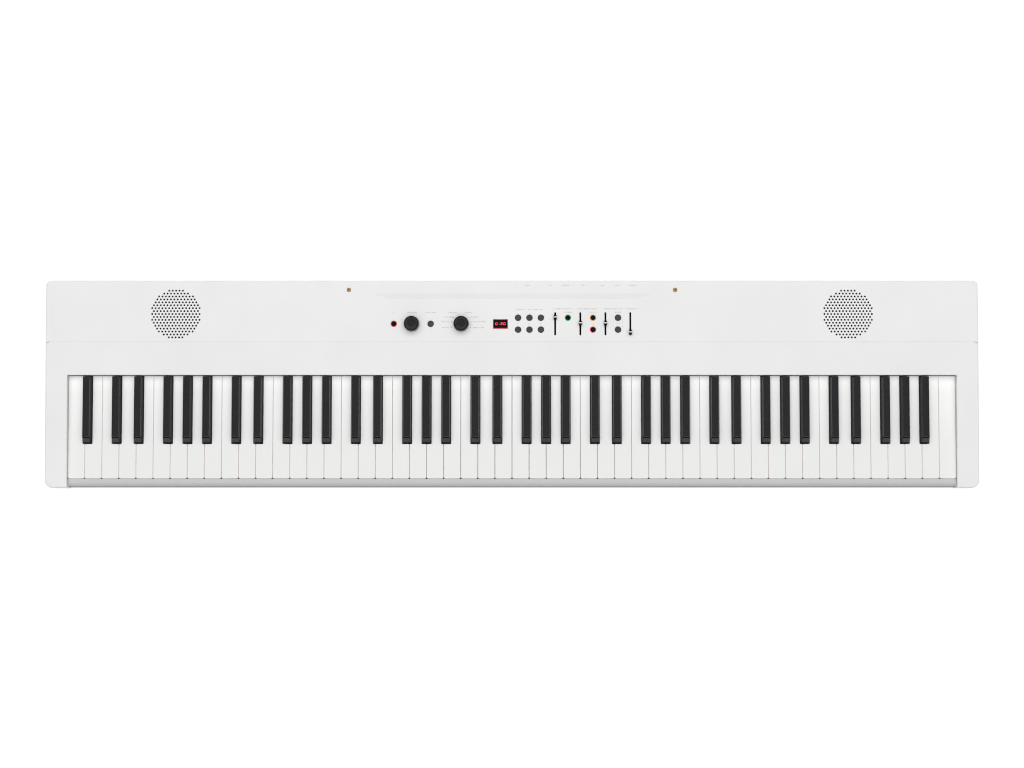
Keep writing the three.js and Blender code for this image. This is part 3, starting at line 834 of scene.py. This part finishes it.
def key_layout():
    """Name, octave and place of each key: a white one's left side, a black one's middle."""
    whites, blacks = [], []
    for i in range(WHITE_COUNT):
        letter = LETTERS[i % 7]
        octave = (i + 5) // 7
        left = -KEYBED_HALF + PITCH * i
        whites.append((f"{letter}{octave}", octave, left))
        if letter in SHARP_SHIFT and i < WHITE_COUNT - 1:
            blacks.append((f"{letter}_sharp_{octave}", octave, left + PITCH + SHARP_SHIFT[letter]))
    return whites, blacks


def key_body(kind, name, octave):
    """A key of the middle octave is a body of its own, the others ride on their octave's unit."""
    unit = min(max(octave, 1), 7)
    return f"key_{name}" if unit == SINGLE_OCTAVE else f"{kind}_keys_{unit}"


def key_side(x, cuts):
    """Corners along one side of a white key, which steps in where a black key stands beside it."""
    shoulder = black_low.y - SHANK_CLEARANCE
    corners = [(x, shoulder, 0.8 * MM, 1), (cuts[0], shoulder, 0.8 * MM, 1)] if cuts else []
    return corners + [(cuts[0] if cuts else x, KEY_REAR_Y, 0.3 * MM, 1)]


def make_white_key(name, octave, left, blacks):
    x0 = max(left + KEY_GAP / 2, -KEYBED_HALF + END_GAP)
    x1 = min(left + PITCH - KEY_GAP / 2, KEYBED_HALF - END_GAP)
    reach = BLACK_WIDTH / 2 + SHANK_CLEARANCE
    near = PITCH / 3
    left_black = [x for _, _, x in blacks if abs(x - left) < near]
    right_black = [x for _, _, x in blacks if abs(x - left - PITCH) < near]
    corners = [(x0, white_low.y, 2.2 * MM, 2.2), (x1, white_low.y, 2.2 * MM, 1)]
    corners += key_side(x1, [x - reach for x in right_black])
    corners += reversed(key_side(x0, [x + reach for x in left_black]))
    bm = bmesh.new()
    tablet(bm, corners, white_low.z, white_high.z, KEY_EDGE)
    # painted light: the key's sides take the faintly glowing white
    paint(bm, 1, lambda face, spot: abs(face.normal.x) > 0.9)
    body = key_body("white", name, octave)
    return finish_piece(f"white_key_{name}", bm, ["ivory", "ivory_side_painted_light"], body)


BLACK_TOP_HALF = 4.7 * MM
BLACK_SLOPE = 8.8 * MM
BLACK_EDGE = 0.9 * MM
BLACK_LIP = 1.5 * MM
BLACK_SHOULDER_Z = 49 * MM


def make_black_key(name, octave, x):
    """Sides that lean in, a matt top and a glossy front that slopes down to a short upright lip."""
    bm = bmesh.new()
    half, rear, front = BLACK_WIDTH / 2, SLOT_Y - 2 * MM, black_low.y
    top = black_high.z

    def ring(z, wide, set_back, radius, front_radius, rear_y=rear):
        plan = tapered(x, wide, wide, front + set_back, rear_y, front_radius, radius)
        return upright(outline(plan, steps=4), z)

    lean_half = BLACK_TOP_HALF + 0.25 * MM
    rings = [
        ring(40 * MM, half, 0, 0.4 * MM, 1.2 * MM),
        ring(BLACK_SHOULDER_Z, half, 0, 0.4 * MM, 1.2 * MM),
        ring(BLACK_SHOULDER_Z + 0.8 * MM, half - 0.12 * MM, 0.35 * MM, 0.5 * MM, 1.3 * MM),
        ring(BLACK_SHOULDER_Z + 2.6 * MM, half - 0.45 * MM, BLACK_LIP, 0.5 * MM, 1.3 * MM),
        ring(top - BLACK_EDGE * 1.3, lean_half, BLACK_SLOPE * 0.80, 0.6 * MM, 1.6 * MM),
    ]
    for inset, drop in reversed(quarter(BLACK_EDGE)):
        radii = max(1.1 * MM - inset, 0.15 * MM), max(1.8 * MM - inset, 0.3 * MM)
        set_back = BLACK_SLOPE + inset * 1.6
        rings.append(ring(top - drop, BLACK_TOP_HALF - inset, set_back, *radii, rear - inset * 1.2))
    rows = skin(bm, rings, material=1)
    cap(bm, rows[0], material=1)
    cap(bm, rows[-1])

    def on_nose(face, spot):
        return spot.y > front + BLACK_LIP and face.normal.y < -0.5 and face.normal.z > 0.3

    def on_top_edge(face, spot):
        return spot.z > top - 1.3 * BLACK_EDGE and face.normal.z < 0.97

    paint(bm, 3, on_top_edge)
    paint(bm, 2, on_nose)
    tail = rectangle(x - 4 * MM, x + 4 * MM, rear - 3 * MM, 106 * MM, 0.4 * MM)
    tablet(bm, tail, 41.3 * MM, 46 * MM, 0.3 * MM, material=1)
    materials = ["ebony_top", "ebony_side", "ebony_nose", "ebony_edge"]
    body = key_body("black", name, octave)
    return finish_piece(f"black_key_{name}", bm, materials, body)


def make_keys():
    whites, blacks = key_layout()
    made = {}
    for name, octave, left in whites:
        key = make_white_key(name, octave, left, blacks)
        made.setdefault(key_body("white", name, octave), key)
    for name, octave, x in blacks:
        key = make_black_key(name, octave, x)
        made.setdefault(key_body("black", name, octave), key)
    for node, first_key in made.items():
        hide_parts(node)


# ---- Controls ----

def make_knob(node):
    """A knob with a flared skirt and a dished top."""
    centre, radius = middle(node), half_width(node)
    base, top = PANEL_Z + 0.35 * MM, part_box(node)[1].z
    bm = bmesh.new()
    rim = radius - 0.9 * MM
    profile = offset((0, base), ((3, -8), (3, 0)))
    profile += offset((radius, base), ((-0.5, 0), (0, 0.5), (-0.1, 1.6)))
    profile += offset((rim, top), ((0.25, -1.6), (0, -0.9), (-0.35, -0.3), (-1, 0), (-1.9, 0)))
    profile += offset((rim, top), ((-2.5, -0.35), (-3.4, -0.8)))
    profile += [(rim * 0.4, top - 0.95 * MM), (0.4 * MM, top - 1.0 * MM)]
    turned(bm, profile, centre, 72)
    dish = Vector((centre.x, centre.y, top))

    def on_dish_edge(face, spot):
        return face.normal.z > 0.6 and rim - 3.4 * MM < (spot - dish).length < rim - 1.9 * MM

    # painted highlight: the dish's edge takes the lighter charcoal
    paint(bm, 1, on_dish_edge)
    materials = ["charcoal", "charcoal_ring"]
    finish_piece(f"{node}_cap", bm, materials, body_of_node[node], [node])


def make_pointer(node, angle):
    """A short dark mark in the rim that shows where the knob points."""
    centre, top = middle(node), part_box(node)[1].z
    radius = half_width(node) - 1.4 * MM
    bm = bmesh.new()
    plan = rectangle(-0.55 * MM, 0.55 * MM, radius - 3.2 * MM, radius, 0.4 * MM)
    tablet(bm, plan, top - 0.9 * MM, top + 0.05 * MM, 0.1 * MM)
    move(bm, (centre.x, centre.y, 0), -angle)
    finish_piece(f"{node}_mark", bm, "jet", body_of_node[node])


def make_button(node):
    """A round button with an eased edge and a shallow dish; a lit one has a narrower black cap."""
    centre, top = middle(node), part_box(node)[1].z
    lit = node in LIT
    radius = 3.15 * MM if lit else half_width(node)
    bm = bmesh.new()
    collar_z = PANEL_Z - WALL + 0.4 * MM
    profile = [(2 * MM, top - 9 * MM), (2 * MM, collar_z), (radius, collar_z)]
    profile += offset((radius, top), ((0, -0.9), (-0.12, -0.45), (-0.45, -0.12)))
    profile += offset((radius, top), ((-0.9, 0), (-1.3, -0.05), (-2.0, -0.3)))
    profile.append((0.3 * MM, top - 0.42 * MM))
    turned(bm, profile, centre, 40)
    material, slot = ("jet", "lit_button") if lit else ("button", "button")
    finish_piece(f"{node}_cap", bm, material, body_of_node[node], [node])
    if lit:
        make_ring(f"{node}_ring", centre, LIT[node])


def make_ring(name, centre, colour):
    """The lit ring that is set in the panel round a button."""
    bm = bmesh.new()
    inner, outer = 3.25 * MM, BUTTON_HOLE - 0.08 * MM
    top = PANEL_Z + 0.2 * MM
    profile = [(inner, PANEL_Z - 2 * MM), (outer, PANEL_Z - 2 * MM)]
    profile += offset((outer, top), ((0, -0.3), (-0.25, 0)))
    profile += offset((inner, top), ((0.25, 0), (0, -0.25)))
    turned(bm, profile, centre, 48, closed=True)
    finish_piece(name, bm, colour, HOUSING)


CAP_LINE_HALF = 0.65 * MM
# a cap's rings: share of its height, of its half width and of its half length, and corner radius
CAP_STEPS = (
    (0, 0.88, 1, 0.5), (0.25, 0.90, 1, 0.5), (0.62, 0.94, 0.80, 0.4),
    (0.90, 0.97, 0.42, 0.15), (0.97, 0.95, 0.32, 0.08),
)


def cap_half(centre, half, base, top, end):
    """One half of a slider cap: wide and high at its line, narrow and low at its end (1 or -1)."""
    bm = bmesh.new()
    near = CAP_LINE_HALF - 0.05 * MM
    rings = []
    for rise, width, reach, radius in CAP_STEPS:
        wide, narrow = half.x * width, half.x * width * 0.66
        y0, y1 = sorted((centre.y + end * near, centre.y + end * half.y * reach))
        halves = (narrow, wide) if end < 0 else (wide, narrow)
        plan = tapered(centre.x, *halves, y0, y1, radius * MM, radius * MM)
        rings.append(upright(outline(plan, steps=3), base + (top - base) * rise))
    solid(bm, rings)
    return bm


def make_slider(node):
    """A cap that is highest along its white line and slopes down to both ends."""
    low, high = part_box(node)
    centre = middle(node)
    half = (high - low) / 2
    base, top = PANEL_Z + 0.5 * MM, high.z
    body = body_of_node[node]
    front = cap_half(centre, half, base, top, -1)
    blade = centred(centre.x, centre.y - 1.15 * MM, 1.4 * MM, 0.9 * MM, 0.1 * MM)
    tablet(front, blade, low.z, PANEL_Z + 1 * MM, 0.1 * MM)
    finish_piece(f"{node}_front", front, "jet", body, [node])
    finish_piece(f"{node}_rear", cap_half(centre, half, base, top, 1), "jet", body)
    line = bmesh.new()
    plan = centred(centre.x, centre.y, half.x * 1.96, CAP_LINE_HALF * 2, 0.1 * MM)
    tablet(line, plan, base, top, 0.15 * MM)
    finish_piece(f"{node}_line", line, "stripe", body)


def make_slider_wells():
    """Dark liners under the slots, so that nothing white shows through them."""
    for node in SLIDERS:
        plan = centred(middle(node).x, CONTROL_Y, 5.2 * MM, SLOT_LENGTH + 2.4 * MM, 2.4 * MM)
        outer, inner = outline(plan, steps=5), outline(plan, inset=0.7 * MM, steps=5)
        bm = bmesh.new()
        floor_z, top_z = 51.9 * MM, PANEL_Z - WALL - 0.05 * MM
        steps = ((outer, floor_z), (outer, top_z), (inner, top_z), (inner, floor_z + 0.2 * MM))
        solid(bm, [upright(points, z) for points, z in steps])
        finish_piece(f"{node}_well", bm, "cavity", HOUSING)


SEGMENTS = {"0": "abcdef", "1": "bc", "2": "abged"}
READOUT = "0120"


def inside(low, high, side, front, rear, radius):
    """A plan set in from a box's sides, front and rear by millimetres."""
    x0, x1 = low.x + side * MM, high.x - side * MM
    return rectangle(x0, x1, low.y + front * MM, high.y - rear * MM, radius * MM)


def make_display():
    low, high = display_corners()
    top = PANEL_Z - 0.25 * MM
    bm = bmesh.new()
    outer = inside(low, high, 0.15, 0.15, 0.15, 0.7)
    opening = inside(low, high, 1.0, 1.3, 0.8, 0.4)
    back = PANEL_Z - 4 * MM
    steps = (
        (outer, 0, back), (outer, 0, top - 0.2 * MM), (outer, 0.2 * MM, top),
        (opening, -0.2 * MM, top), (opening, 0, top - 0.4 * MM), (opening, 0, back),
    )
    skin(bm, [upright(outline(plan, inset, steps=4), z) for plan, inset, z in steps], closed=True)
    finish_piece("display_bezel", bm, "crimson", HOUSING)
    bm = bmesh.new()
    tablet(bm, inside(low, high, 1.05, 1.35, 0.85, 0.3), back, top - 0.35 * MM, 0.1 * MM)
    finish_piece("display_pane", bm, "jet", HOUSING, ["display_module"])
    make_digits((low.x + high.x) / 2, (low.y + high.y) / 2 + 0.4 * MM, top - 0.33 * MM)


def make_digits(x, y, z):
    """Seven-segment numerals that glow behind the window."""
    width, height, thick, pitch = 2.3 * MM, 3.1 * MM, 0.42 * MM, 3.7 * MM
    w, h = width / 2, height / 2
    places = {
        "a": (0, h), "g": (0, 0), "d": (0, -h),
        "b": (w, h / 2), "c": (w, -h / 2), "f": (-w, h / 2), "e": (-w, -h / 2),
    }
    bm = bmesh.new()
    for index, figure in enumerate(READOUT):
        cx = x + (index - (len(READOUT) - 1) / 2) * pitch
        for segment in SEGMENTS[figure]:
            dx, dy = places[segment]
            size = (thick, h - 0.3 * MM) if dx else (width - 0.3 * MM, thick)
            plan = centred(cx + dx, y + dy, *size, 0.2 * MM)
            tablet(bm, plan, z - 0.1 * MM, z + 0.06 * MM, 0.03 * MM, steps=2, edge_steps=1)
    finish_piece("display_digits", bm, "digit", HOUSING)


def make_sockets():
    for node in SOCKETS:
        radius, base = half_width(node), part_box(node)[0].z
        bm = bmesh.new()
        top = PANEL_Z - 0.1 * MM
        profile = [(radius, base), (radius, top - 0.3 * MM), (radius - 0.3 * MM, top)]
        profile += offset((0, top), ((2.1, 0), (1.8, -0.4)))
        profile += offset((0, base), ((1.8, 2), (0.2, 1.9)))
        turned(bm, profile, middle(node), 32)
        finish_piece(f"{node}_sleeve", bm, "brass", HOUSING, [node])


# ---- Printed marks ----

PRINT_LIFT = 0.03 * MM
LETTER_HEIGHT = 1.9 * MM


def mark(bm, x, y, width, height, angle=0.0):
    """One printed dash, as a very thin plate on the panel."""
    plan = centred(0, 0, width, height, min(width, height) * 0.3)
    low_z, high_z = PANEL_Z - 0.02 * MM, PANEL_Z + PRINT_LIFT
    rows = tablet(bm, plan, low_z, high_z, 0.01 * MM, steps=1, edge_steps=1)
    turn = Matrix.Translation((x, y, 0)) @ Matrix.Rotation(angle, 4, "Z")
    bmesh.ops.transform(bm, matrix=turn, verts=[v for row in rows for v in row])


def dashes(bm, x, y, width, seed):
    """A caption stand-in: a row of short bars of uneven width that spells nothing."""
    cursor, step = x - width / 2, seed
    while cursor < x + width / 2 - 0.3 * MM:
        step = (step * 37 + 11) % 101
        bar = (0.30 + step / 101 * 0.5) * MM
        mark(bm, cursor + bar / 2, y, bar, LETTER_HEIGHT * (0.7 + 0.15 * (step % 3)))
        cursor += bar + (0.55 + 0.35 * (step % 2)) * MM


def print_beside(bm, node, dx, dy, width, seed):
    """A caption of a given width, set off from the middle of a control (millimetres)."""
    centre = middle(node)
    dashes(bm, centre.x + dx * MM, centre.y + dy * MM, width * MM, seed)


# printed marks in millimetres: the middle and width of each heading over the sliders
HEADINGS = ((69, 26), (103, 26), (139.2, 24), (164.8, 16.7))
HEADING_RISE = 20.6
# a control, how far its caption is from its middle, and the caption's width
CAPTIONS = (
    ("volume_knob", 0.8, 15.5, 12.8), ("function_button", 0, 15.5, 15),
    ("power_button", 0, 15.5, 1.4), ("effect_button", 0, 7.4, 9.8),
    ("metronome_button", 0, 7.4, 9.2), ("record_button", 0, 7.6, 2.9),
    ("octave_up_button", 0, 7.4, 8), ("select_button_1", 0, -8.2, 2.6),
    ("select_button_2", 0, -8.2, 2.6), ("select_button_3", 0, -8.2, 2.6),
)
# over the six select buttons: place and width of each word
GROUP_HEADING = ((-11.5, 13), (0, 4.6), (11.5, 13))


def make_prints():
    faint, dark = bmesh.new(), bmesh.new()
    for index, (x, width) in enumerate(HEADINGS):
        dashes(faint, x * MM, CONTROL_Y + HEADING_RISE * MM, width * MM, seed=3 + 5 * index)
    for index, (node, dx, dy, width) in enumerate(CAPTIONS):
        print_beside(faint, node, dx, dy, width, seed=7 + index)
    for index, (dx, width) in enumerate(GROUP_HEADING):
        print_beside(faint, "select_button_2", dx, 11.2, width, seed=40 + index)
    make_selector_marks(faint, dark)
    make_rear_marks(faint)
    make_pair_marks(faint, dark)
    finish_piece("panel_print", faint, "print", HOUSING)
    finish_piece("panel_print_dark", dark, "print_dark", HOUSING)


TICK_ANGLES = (-112, -79, -50, -17, 17, 50, 79, 112)
SELECTOR_CAPTIONS = (
    (-21.4, -5.3, 9.6), (-21.2, 3.0, 12), (-17.7, 9.3, 12), (-11.7, 15.5, 12.8),
    (10.2, 15.5, 10.3), (19, 9.3, 11.8), (25.4, 3.0, 17.4), (23.8, -5.3, 14.4),
)


def make_selector_marks(faint, dark):
    """A dot at each of the knob's places and a caption beside it."""
    centre = middle("selector_knob")
    for index, (degrees, (dx, dy, width)) in enumerate(zip(TICK_ANGLES, SELECTOR_CAPTIONS)):
        a = math.radians(degrees)
        x, y = centre.x + 13.8 * MM * math.sin(a), centre.y + 13.8 * MM * math.cos(a)
        mark(dark, x, y, 1.0 * MM, 1.0 * MM, -a)
        print_beside(faint, "selector_knob", dx, dy, width, seed=11 + 3 * index)


REAR_CAPTIONS = (
    (21.2, 6.5), (53.0, 2.4), (73.6, 9.5), (98.5, 3.2), (124.7, 4.6), (145.3, 7.5), (166.0, 9.5),
)


def make_rear_marks(faint):
    """Small marks on the panel above each rear connector."""
    for index, (x, width) in enumerate(REAR_CAPTIONS):
        dashes(faint, x * MM, REAR_Y - 8.8 * MM, width * MM, seed=4 + index)


def make_pair_marks(faint, dark):
    """Dots and a fine bracket round the last pair of buttons."""
    x = middle("octave_up_button").x
    for side in (-1, 1):
        mark(dark, x + side * 1.9 * MM, CONTROL_Y + 0.4 * MM, 0.7 * MM, 0.7 * MM)
        mark(dark, x + side * 6.4 * MM, CONTROL_Y - 3.6 * MM, 0.6 * MM, 0.6 * MM)
        mark(faint, x + side * 6.6 * MM, CONTROL_Y + 3.6 * MM, 0.3 * MM, 7 * MM)


# ---- Rear connectors ----

# place along the panel, inner and outer radius in millimetres, and material
JACK_RINGS = (
    (53.0, 3.3, 5.2, "steel"), (73.6, 3.3, 5.2, "steel"),
    (98.5, 3.3, 5.2, "steel"), (166, 3.0, 4.4, "jet"),
)


def make_jack_rings():
    """Threaded bushings of the phone jacks and the rim of the power inlet."""
    low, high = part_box("rear_jack_block")
    z = (low.z + high.z) / 2
    for index, (x, inner, outer, material) in enumerate(JACK_RINGS):
        bm = bmesh.new()
        profile = offset((0, high.y), ((inner, 0.05), (outer, 0.05), (outer, 1.2)))
        profile += offset((0, high.y), ((outer - 0.4, 1.6), (inner + 0.3, 1.6), (inner, 1.3)))
        turned(bm, profile, Vector((0, 0, 0)), 40, closed=True)
        move(bm, (x * MM, 0, z), -math.pi / 2, "X")
        finish_piece(f"jack_bushing_{index + 1}", bm, material, HOUSING)


# ---- Carried-over nodes, floor and light ----

CAD_FINISH = {
    "key_chassis": "frame", "key_contact_board": "board", "main_circuit_board": "board",
    "speaker_left": "cone", "speaker_right": "cone", "rear_jack_block": "jet",
}


def finish_cad_nodes():
    for node, material in CAD_FINISH.items():
        mesh = frame["nodes"][node].data
        mesh.materials.clear()
        mesh.materials.append(MATERIAL[material])


def make_stage():
    m = Nodes("floor_white")
    patches = m.span(m.noise(3, 2), 0.0, 1.0)
    m.connect("Base Color", m.mix(patches, (0.34, 0.34, 0.34), (0.36, 0.36, 0.36)))
    m.connect("Roughness", 0.9)
    m.connect("Emission Color", (1.0, 1.0, 1.0)).connect("Emission Strength", 0.74)
    bm = bmesh.new()
    half, depth = 12.0, -0.2 * MM
    corners = ((-half, -half), (half, -half), (half, half), (-half, half))
    bm.faces.new([bm.verts.new((x, y, depth)) for x, y in corners])
    floor = new_object("floor", bm)
    floor.data.materials.append(m.material)


def add_area(name, place, aim, size, power):
    light = bpy.data.lights.new(name, "AREA")
    light.shape = "RECTANGLE"
    light.size, light.size_y = size
    light.energy = power
    lamp = bpy.data.objects.new(name, light)
    lamp.location = place
    lamp.rotation_euler = (Vector(aim) - Vector(place)).to_track_quat("-Z", "Y").to_euler()
    bpy.context.scene.collection.objects.link(lamp)


def add_light():
    scene = bpy.context.scene
    scene.view_settings.view_transform = "Standard"
    scene.view_settings.look = "None"
    scene.view_settings.exposure = 0.0
    scene.cycles.filter_width = 1.1
    scene.world = make_world()
    add_area("soft_rear", (0.0, 1.8, 3.0), (0, 0, 0), (4.5, 1.4), 31)


def make_world():
    """White surroundings, brightest overhead and fading towards the horizon like a wide softbox."""
    world = bpy.data.worlds.new("studio")
    world.use_nodes = True
    nodes, links = world.node_tree.nodes, world.node_tree.links
    place = nodes.new("ShaderNodeTexCoord")
    split = nodes.new("ShaderNodeSeparateXYZ")
    fade = nodes.new("ShaderNodeMapRange")
    fade.interpolation_type = "SMOOTHSTEP"
    for key, value in (("From Min", 0.55), ("From Max", 0.98), ("To Min", 0.2), ("To Max", 1.75)):
        fade.inputs[key].default_value = value
    links.new(place.outputs["Generated"], split.inputs["Vector"])
    links.new(split.outputs["Z"], fade.inputs["Value"])
    links.new(fade.outputs["Result"], nodes["Background"].inputs["Strength"])
    nodes["Background"].inputs["Color"].default_value = (1.0, 1.0, 1.0, 1)
    return world


add_camera()
add_light()
make_stage()
make_top_cover()
make_surround()
make_front_rail()
make_bottom_case()
make_screws()
make_feet()
make_felt()
make_keys()
for node in KNOBS:
    make_knob(node)
make_pointer("volume_knob", 0.0)
make_pointer("selector_knob", math.radians(TICK_ANGLES[0]))
for node in BUTTONS:
    make_button(node)
for node in SLIDERS:
    make_slider(node)
make_slider_wells()
make_display()
make_sockets()
make_prints()
make_jack_rings()
finish_cad_nodes()
